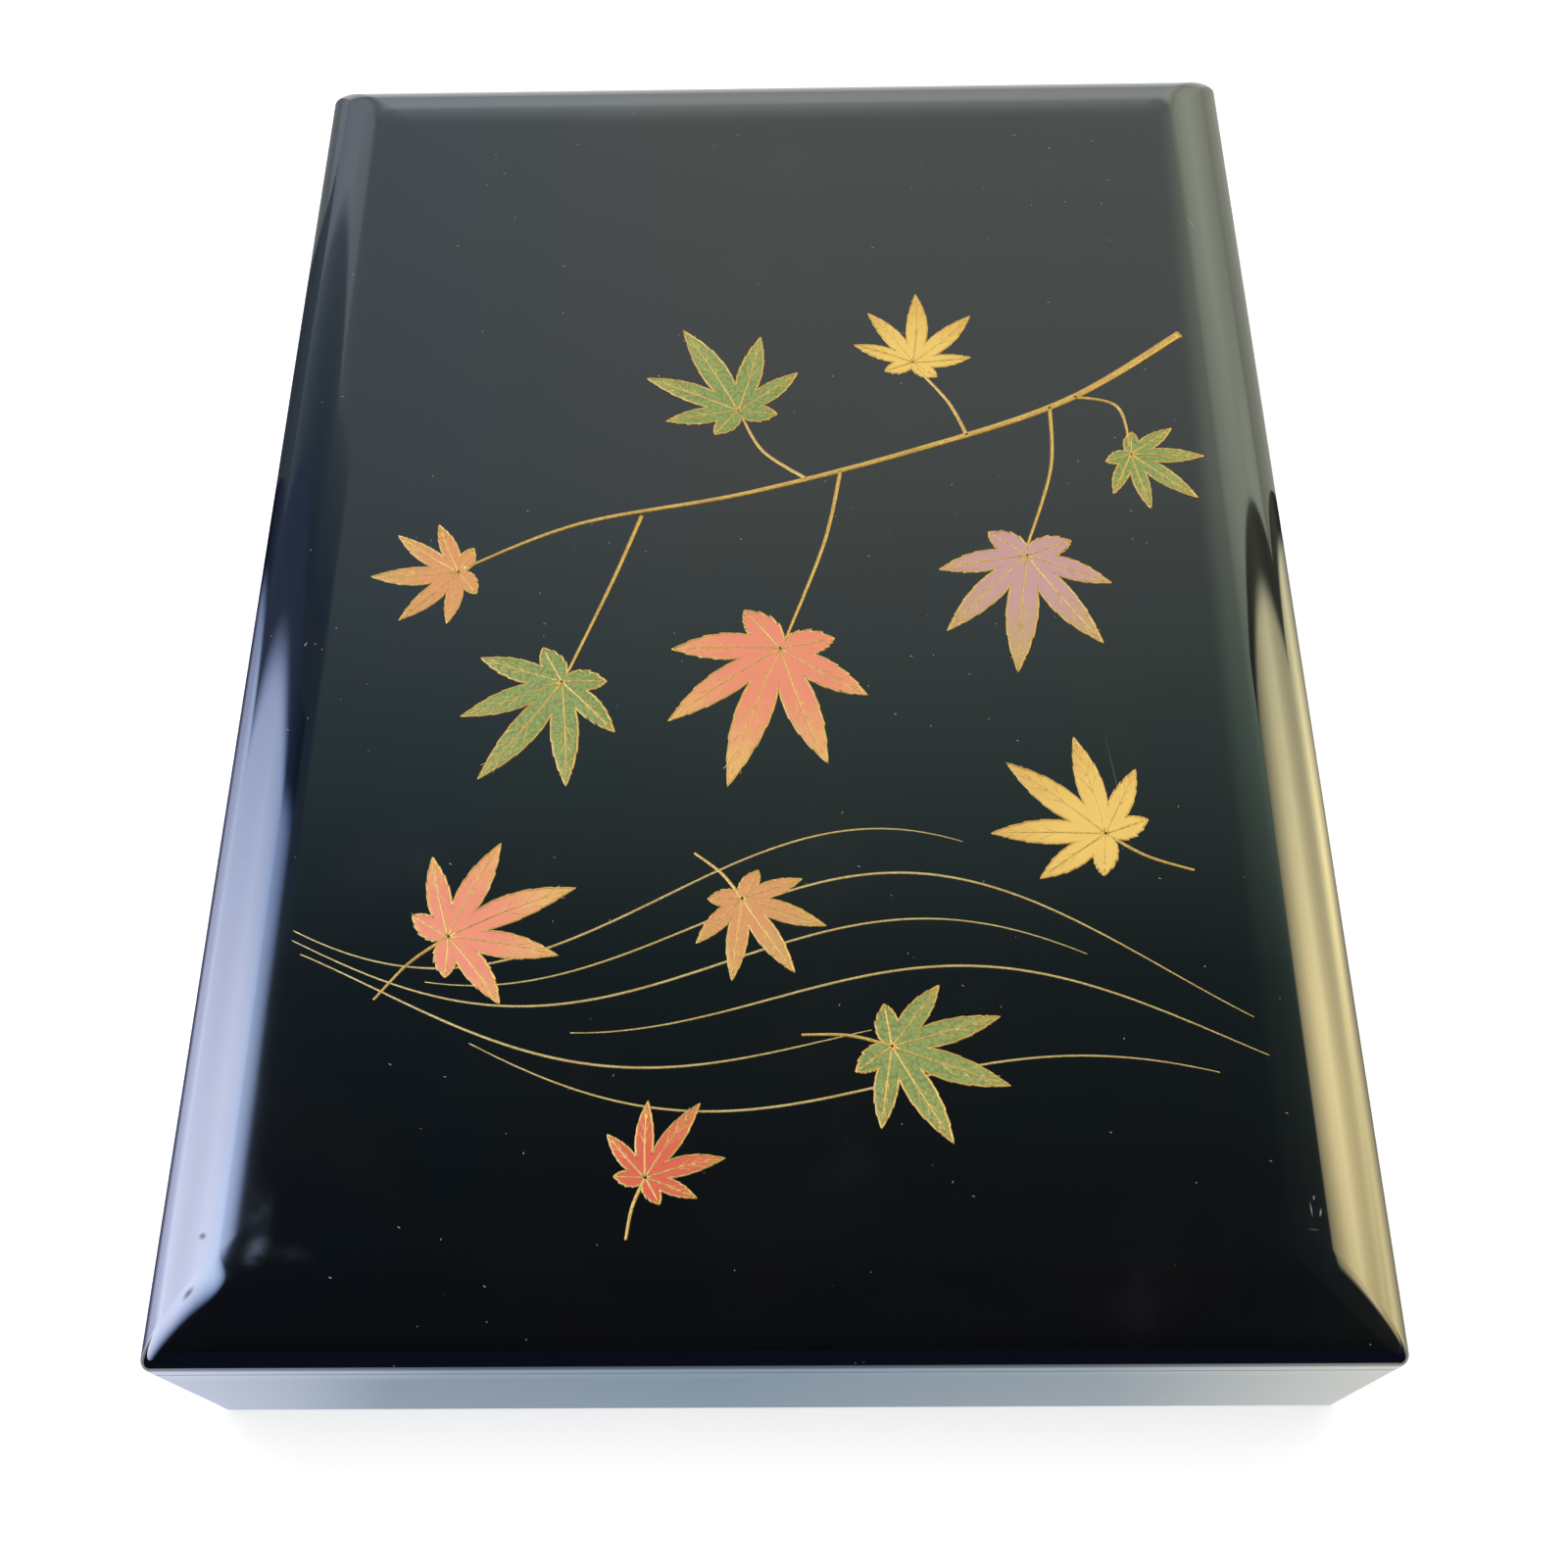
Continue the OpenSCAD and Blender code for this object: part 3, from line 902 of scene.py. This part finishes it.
# The camera, as fitted to the photograph: place, aim, and lens in pixels of its square picture
CAMERA_PLACE = Vector((0.00766, -0.22106, 0.40321))
CAMERA_YAW, CAMERA_PITCH, CAMERA_ROLL = (math.radians(a) for a in (-1.653, 63.114, -1.976))
SENSOR = 36
FOCAL_PX, IMAGE_PX = 1818.54, 1600


def make_camera():
    camera = bpy.data.cameras.new("camera")
    camera.sensor_width = SENSOR
    camera.lens = FOCAL_PX / IMAGE_PX * SENSOR
    level = math.cos(CAMERA_PITCH)
    ahead = Vector((math.sin(CAMERA_YAW) * level, math.cos(CAMERA_YAW) * level, -math.sin(CAMERA_PITCH)))
    right = Vector((math.cos(CAMERA_YAW), -math.sin(CAMERA_YAW), 0))
    up = right.cross(ahead)
    rolled_right = right * math.cos(CAMERA_ROLL) + up * math.sin(CAMERA_ROLL)
    rolled_up = up * math.cos(CAMERA_ROLL) - right * math.sin(CAMERA_ROLL)
    pose = Matrix((rolled_right, rolled_up, -ahead)).transposed().to_4x4()
    pose.translation = CAMERA_PLACE
    piece = add_object("camera", camera)
    piece.matrix_world = pose
    bpy.context.scene.camera = piece


# The floor's own white, what it glows by near the box and far off, where that changes, and its half width
FLOOR_WHITE = (0.8, 0.8, 0.8, 1)
FLOOR_LIFT, FAR_FLOOR_LIFT = 0.55, 0.78
FLOOR_LIFT_REACH = (0.5, 2.5)
FLOOR_REACH = 30

# The panels: distance of their upright part from the middle, inner end of their foot on the floor, lean of
# their edges to the back, the y that slopes are taken from, near edge of the foot, end of the near edge's
# fade, slopes over which front_gain gives way, height of the foot, and where the upright parts bend and end
PANEL_X = 0.9
PANEL_FOOT = 0.125
PANEL_LEAN = 0.26
PANEL_MIDDLE_Y = -0.018
FOOT_NEAR = -0.165
NEAR_FADE_END = -0.3
FRONT_SLOPES = (-0.25, 0.05)
PANEL_LIFT = 0.4 * MM
LEFT_BEND_Z = 1.2
LEFT_TOP = (0.7625, 1.717)
RIGHT_TOP_Z = 1.45

# Tones of the panels from their low end to their top, and their tints where they dim
COOL_STOPS = (
    (0.0, (0.0, 0.0, 0.01)), (0.022, (0.02, 0.02, 0.04)), (0.034, (0.19, 0.21, 0.3)),
    (0.052, (0.27, 0.3, 0.43)), (0.1, (0.52, 0.57, 0.78)), (0.13, (0.64, 0.69, 0.92)),
    (0.335, (0.8, 0.84, 1.09)), (0.465, (0.88, 0.95, 1.28)), (0.63, (1.05, 1.13, 1.5)),
    (0.76, (1.0, 1.1, 1.48)), (0.867, (0.93, 1.08, 1.5)), (0.931, (0.8, 0.97, 1.42)),
    (0.966, (0.55, 0.7, 1.08)), (0.985, (0.32, 0.43, 0.7)), (1.0, (0.12, 0.16, 0.28)),
)
COOL_DUSK = (0.6, 0.79, 1.1, 1)
WARM_STOPS = (
    (0.0, (0.02, 0.02, 0.01)), (0.02, (0.08, 0.07, 0.05)), (0.027, (0.18, 0.16, 0.1)),
    (0.039, (0.35, 0.3, 0.16)), (0.053, (0.56, 0.475, 0.25)), (0.07, (0.65, 0.55, 0.285)),
    (0.12, (0.6, 0.51, 0.26)), (0.35, (0.55, 0.46, 0.235)), (0.41, (0.55, 0.46, 0.235)),
    (0.475, (0.72, 0.6, 0.3)), (0.555, (1.07, 0.9, 0.48)), (0.65, (1.0, 0.84, 0.42)),
    (0.78, (0.69, 0.58, 0.3)), (0.9, (0.45, 0.39, 0.21)), (0.96, (0.34, 0.3, 0.17)),
    (1.0, (0.1, 0.09, 0.05)),
)
WARM_DUSK = (0.8, 1.0, 1.4, 1)

# The curtain: tones from its near edge to its far one, place, edges, lean to the back and soft hem
CURTAIN_STOPS = (
    (0.56, (0.145, 0.22, 0.345)), (0.736, (0.22, 0.34, 0.475)), (0.867, (0.33, 0.42, 0.52)),
    (0.934, (0.38, 0.47, 0.6)),
)
CURTAIN_X = -0.91
CURTAIN_NEAR, CURTAIN_FAR, CURTAIN_TOP = -0.1, 0.79, 2.35
CURTAIN_LEAN = 0.436
CURTAIN_HEM = 0.06

# Cards on the floor: outline as (x, y), and tones from left to right. The front wall shows the first of them,
# the lid's lip the second, its front shoulder the third and its side shoulders the others
CARD_LIFT = 0.3 * MM
CARDS = {
    "card_wall": (
        ((-0.14, -0.174), (0.14, -0.174), (0.14, -0.1669), (-0.14, -0.1669)),
        (
            (0.0, (1.17, 1.26, 1.54)), (0.12, (0.85, 0.97, 1.18)), (0.2, (0.56, 0.675, 0.82)),
            (0.45, (0.475, 0.615, 0.75)), (0.76, (0.64, 0.745, 0.825)), (1.0, (1.31, 1.31, 1.22)),
        ),
    ),
    "card_lip": (
        ((-0.14, -0.24), (0.14, -0.24), (0.14, -0.174), (-0.14, -0.174)),
        (
            (0.0, (1.25, 1.35, 1.65)), (0.25, (0.6, 0.76, 0.92)), (0.5, (0.51, 0.67, 0.82)),
            (0.75, (0.68, 0.8, 0.9)), (1.0, (1.35, 1.35, 1.26)),
        ),
    ),
    "card_far_front": (
        ((-30, -30), (30, -30), (3, -0.24), (-3, -0.24)),
        (
            (0.0, (0.02, 0.03, 0.08)), (1.0, (0.02, 0.028, 0.07)),
        ),
    ),
    "card_back_left": (
        ((-6, 3.76), (-0.125, 0.061), (-0.125, 0.125), (-6, 6)),
        (
            (0.0, (0.25, 0.33, 0.45)), (0.766, (0.25, 0.33, 0.45)), (0.9485, (0.17, 0.22, 0.3)),
            (0.9765, (0.12, 0.16, 0.21)), (1.0, (0.03, 0.035, 0.05)),
        ),
    ),
    "card_far_left": (
        ((-6, 6), (-0.125, 0.125), (-0.125, 0.2), (-6, 9.6)),
        (
            (0.0, (0.72, 0.84, 0.98)), (0.857, (0.71, 0.82, 0.96)), (0.957, (0.6, 0.7, 0.77)),
            (0.978, (0.33, 0.37, 0.41)), (1.0, (0.3, 0.32, 0.36)),
        ),
    ),
    "card_back_right": (
        ((0.125, 0.056), (6, 3.52), (6, 9.6), (0.125, 0.2)),
        (
            (0.0, (0.5, 0.53, 0.43)), (0.014, (0.78, 0.82, 0.68)), (0.04, (0.92, 0.97, 0.77)),
            (1.0, (1.0, 1.05, 0.85)),
        ),
    ),
}

LAMP_SIZE = 1.6
LAMP_WATTS = 20
LAMP_PLACE = (-0.1, 0.15, 1.6)

# The room, in its own radius: tones from front to back, tints from left to right, lean of the tones to the
# back with height, and glow at the horizon and at the middle of the back
ROOM_STOPS = (
    (0.0, (0.035, 0.037, 0.045)), (0.2, (0.05, 0.06, 0.07)), (0.29, (0.095, 0.145, 0.15)),
    (0.39, (0.33, 0.46, 0.44)), (0.5, (0.68, 0.75, 0.73)), (0.64, (0.8, 0.86, 0.83)),
)
ROOM_SIDES = (
    (-0.72, (1.47, 1.6, 2.05)), (-0.6, (1.38, 1.5, 1.78)), (-0.5, (1.28, 1.4, 1.7)),
    (-0.38, (1.3, 1.43, 1.73)), (-0.29, (0.78, 0.89, 1.06)), (0.0, (1, 1, 1)),
    (0.12, (1, 1, 1)), (0.22, (1.0, 1.0, 0.98)), (0.3, (1.75, 1.77, 1.48)),
    (0.37, (2.35, 2.38, 1.95)), (0.45, (2.6, 2.63, 2.15)), (0.58, (2.75, 2.78, 2.25)),
    (0.72, (2.6, 2.63, 2.12)), (0.82, (3.3, 3.35, 2.7)),
)
ROOM_R = 60
ROOM_ROUNDNESS = 4
ROOM_FRONT = -0.3
ROOM_LEAN = 0.3
ROOM_RISE = 0.42
HORIZON_GLOW = 0.5
BACK_GLOW = 1.4
BACK_GLOW_LEAN = (0.53, 0.7)
BACK_GLOW_SIDES = (0.21, 0.33)

BACKDROP_LIGHT = 0.3


def flat_sheet(name, corners):
    """A stage sheet through four corners."""
    mesh = bpy.data.meshes.new(name)
    mesh.from_pydata(corners, [], [(0, 1, 2, 3)])
    return mesh


def hidden_piece(name, mesh, material):
    """A stage piece that only the lacquer's gloss shows."""
    mesh.materials.append(material)
    piece = add_object(name, mesh)
    piece.visible_camera = False
    piece.visible_diffuse = False
    piece.visible_shadow = False
    return piece


def seen_rays(g):
    """1 for the rays that show a surface: from the camera, in gloss and through glass."""
    rays = g.add("ShaderNodeLightPath").outputs
    through = g.math("MAXIMUM", rays["Is Glossy Ray"], rays["Is Transmission Ray"])
    return g.math("MAXIMUM", rays["Is Camera Ray"], through)


def make_floor():
    """A white floor with the box's own shadow on it, lifted to full white for the camera and the gloss."""
    corners = [(x * FLOOR_REACH, y * FLOOR_REACH, 0) for x, y in ((-1, -1), (1, -1), (1, 1), (-1, 1))]
    mesh = flat_sheet("floor", corners)
    g = Graph(new_material("floor_white"))
    paper = g.add("ShaderNodeBsdfDiffuse", {"Color": FLOOR_WHITE})
    away = g.add("ShaderNodeVectorMath", {0: g.position}, operation="LENGTH").outputs["Value"]
    level = g.grade(away, *FLOOR_LIFT_REACH, FLOOR_LIFT, FAR_FLOOR_LIFT)
    lift = g.add("ShaderNodeEmission", {"Strength": g.math("MULTIPLY", seen_rays(g), level)})
    g.surface(g.add("ShaderNodeAddShader", {0: paper.outputs[0], 1: lift.outputs[0]}))
    mesh.materials.append(g.owner)
    add_object("floor", mesh)


def leaned_y(g, lean):
    """A stage sheet's y, measured from an edge that leans to the back as it rises."""
    return g.math("SUBTRACT", g.y, g.math("MULTIPLY", g.z, lean))


def make_panel(name, path, near, far, stops, strength, front_gain, fade, cut, dusk, frame_glow):
    """A glowing panel that sweeps up from the floor beside the box and dims towards its far edge.

    path is its section as (x, z), near the y of its upright part's near edge, and far the slope of its far
    edge on the floor. stops are its colours from its low end to its top, front_gain what its strength changes
    by towards the front, fade and cut the slopes over which it dims slowly and then quickly to frame_glow,
    and dusk the tint on the way."""
    g = Graph(new_material(name))
    out = g.math("ABSOLUTE", g.x)
    low, high = abs(path[0][0]) + path[0][1], abs(path[-1][0]) + path[-1][1]
    colour = g.ramp(g.level(g.math("ADD", out, g.z), low, high, 0, 1), stops)
    along = leaned_y(g, PANEL_LEAN)
    slope = g.math("DIVIDE", g.math("SUBTRACT", along, PANEL_MIDDLE_Y), out)
    lit = g.math("MULTIPLY", g.level(slope, *fade, 1, 0), g.grade(slope, *cut, 1, 0))
    lit = g.math("MULTIPLY", lit, g.grade(along, near, NEAR_FADE_END, 0, 1))
    colour = g.blend(1.0, colour, g.blend(lit, dusk, (1, 1, 1, 1)), "MULTIPLY")
    gain = g.grade(slope, *FRONT_SLOPES, front_gain, 1)
    level = g.math("MULTIPLY", g.level(lit, 0, 1, frame_glow, strength), gain)
    g.surface(g.add("ShaderNodeEmission", {"Color": colour, "Strength": level}))

    far_edge = [PANEL_MIDDLE_Y + far * abs(x) + PANEL_LEAN * z for x, z in path]
    for i, ((x, z), (next_x, next_z)) in enumerate(zip(path, path[1:])):
        low_near = near + PANEL_LEAN * z if i else FOOT_NEAR
        high_near = near + PANEL_LEAN * next_z if i else FOOT_NEAR
        corners = (
            (x, low_near, z), (x, far_edge[i], z),
            (next_x, far_edge[i + 1], next_z), (next_x, high_near, next_z),
        )
        hidden_piece(f"{name}_{i}", flat_sheet(name, corners), g.owner)


def make_curtain():
    """A dim curtain behind the left panel, brighter towards its far edge, seen only in the gloss."""
    lean = CURTAIN_LEAN * CURTAIN_TOP
    edges = (
        (CURTAIN_NEAR, 0), (CURTAIN_FAR, 0),
        (CURTAIN_FAR + lean, CURTAIN_TOP), (CURTAIN_NEAR + lean, CURTAIN_TOP),
    )
    corners = [(CURTAIN_X, y, z) for y, z in edges]
    g = Graph(new_material("curtain"))
    along = leaned_y(g, CURTAIN_LEAN)
    clear = g.add("ShaderNodeBsdfTransparent")
    tone = g.ramp(g.level(along, CURTAIN_NEAR, CURTAIN_FAR, 0, 1), CURTAIN_STOPS)
    cloth = g.add("ShaderNodeEmission", {"Color": tone})
    share = g.grade(along, CURTAIN_FAR - CURTAIN_HEM, CURTAIN_FAR, 0, 1)
    g.surface(g.add("ShaderNodeMixShader", {0: share, 1: cloth.outputs[0], 2: clear.outputs[0]}))
    hidden_piece("curtain", flat_sheet("curtain", corners), g.owner)


def make_card(name, outline, stops):
    """A card on the floor that only the gloss shows; its tone runs through stops from left to right."""
    g = Graph(new_material(name))
    edges = [x for x, y in outline]
    tone = g.ramp(g.level(g.x, min(edges), max(edges), 0, 1), stops)
    g.surface(g.add("ShaderNodeEmission", {"Color": tone}))
    hidden_piece(name, flat_sheet(name, [(x, y, CARD_LIFT) for x, y in outline]), g.owner)


def make_lamp():
    """One wide soft lamp overhead, which stays out of the gloss."""
    lamp = bpy.data.lights.new("lamp", "AREA")
    lamp.size = LAMP_SIZE
    lamp.energy = LAMP_WATTS
    piece = add_object("lamp", lamp)
    piece.location = LAMP_PLACE
    piece.visible_camera = False
    piece.visible_glossy = False


def make_room():
    """A dim room round the stage that the gloss shows: bright at the back and brighter at the back's sides,
    less so at the horizon, dark overhead and towards the camera."""
    g = Graph(new_material("room"))
    lean = leaned_y(g, ROOM_LEAN)
    back = g.ramp(g.level(lean, ROOM_FRONT, 1, 0, 1), ROOM_STOPS)
    sides = [((x + 1) / 2, tint) for x, tint in ROOM_SIDES]
    side = g.ramp(g.level(g.x, -1, 1, 0, 1), sides, "EASE")
    low = g.level(g.z, 0, ROOM_RISE, HORIZON_GLOW, 1)
    middle = g.grade(g.math("ABSOLUTE", g.x), *BACK_GLOW_SIDES, 1, 0)
    glow = g.math("ADD", 1, g.math("MULTIPLY", middle, g.grade(lean, *BACK_GLOW_LEAN, 0, BACK_GLOW)))
    tone = {"Color": g.blend(1.0, back, side, "MULTIPLY"), "Strength": g.math("MULTIPLY", low, glow)}
    g.surface(g.add("ShaderNodeEmission", tone))
    mesh = bpy.data.meshes.new("room")
    work = bmesh.new()
    bmesh.ops.create_icosphere(work, subdivisions=ROOM_ROUNDNESS, radius=1)
    work.to_mesh(mesh)
    work.free()
    hidden_piece("room", mesh, g.owner).scale = (ROOM_R, ROOM_R, ROOM_R)


def make_world():
    """A white backdrop that gives a little even light."""
    world = bpy.data.worlds.new("backdrop")
    g = Graph(world, "Background", "Generated", Color=(1, 1, 1, 1))
    g.drive("Strength", g.level(seen_rays(g), 0, 1, BACKDROP_LIGHT, 1))
    bpy.context.scene.world = world


def make_studio():
    make_camera()
    make_floor()
    foot = ((PANEL_FOOT, PANEL_LIFT), (PANEL_X, PANEL_LIFT))
    left = tuple((-x, z) for x, z in (*foot, (PANEL_X, LEFT_BEND_Z), LEFT_TOP))
    right = (*foot, (PANEL_X, RIGHT_TOP_Z))
    make_panel(
        "panel_left", left, near=-1.3, far=0.63, stops=COOL_STOPS, strength=6.4, front_gain=1.25,
        fade=(0.04, 0.9), cut=(0.385, 0.485), dusk=COOL_DUSK, frame_glow=0.3,
    )
    make_panel(
        "panel_right", right, near=-0.45, far=0.59, stops=WARM_STOPS, strength=8.1, front_gain=0.73,
        fade=(0.1, 1.0), cut=(0.47, 0.52), dusk=WARM_DUSK, frame_glow=0.4,
    )
    make_lamp()
    make_curtain()
    for name, card in CARDS.items():
        make_card(name, *card)
    make_room()
    make_world()
    bpy.context.scene.view_settings.view_transform = "Standard"


make_box()
make_design()
make_studio()
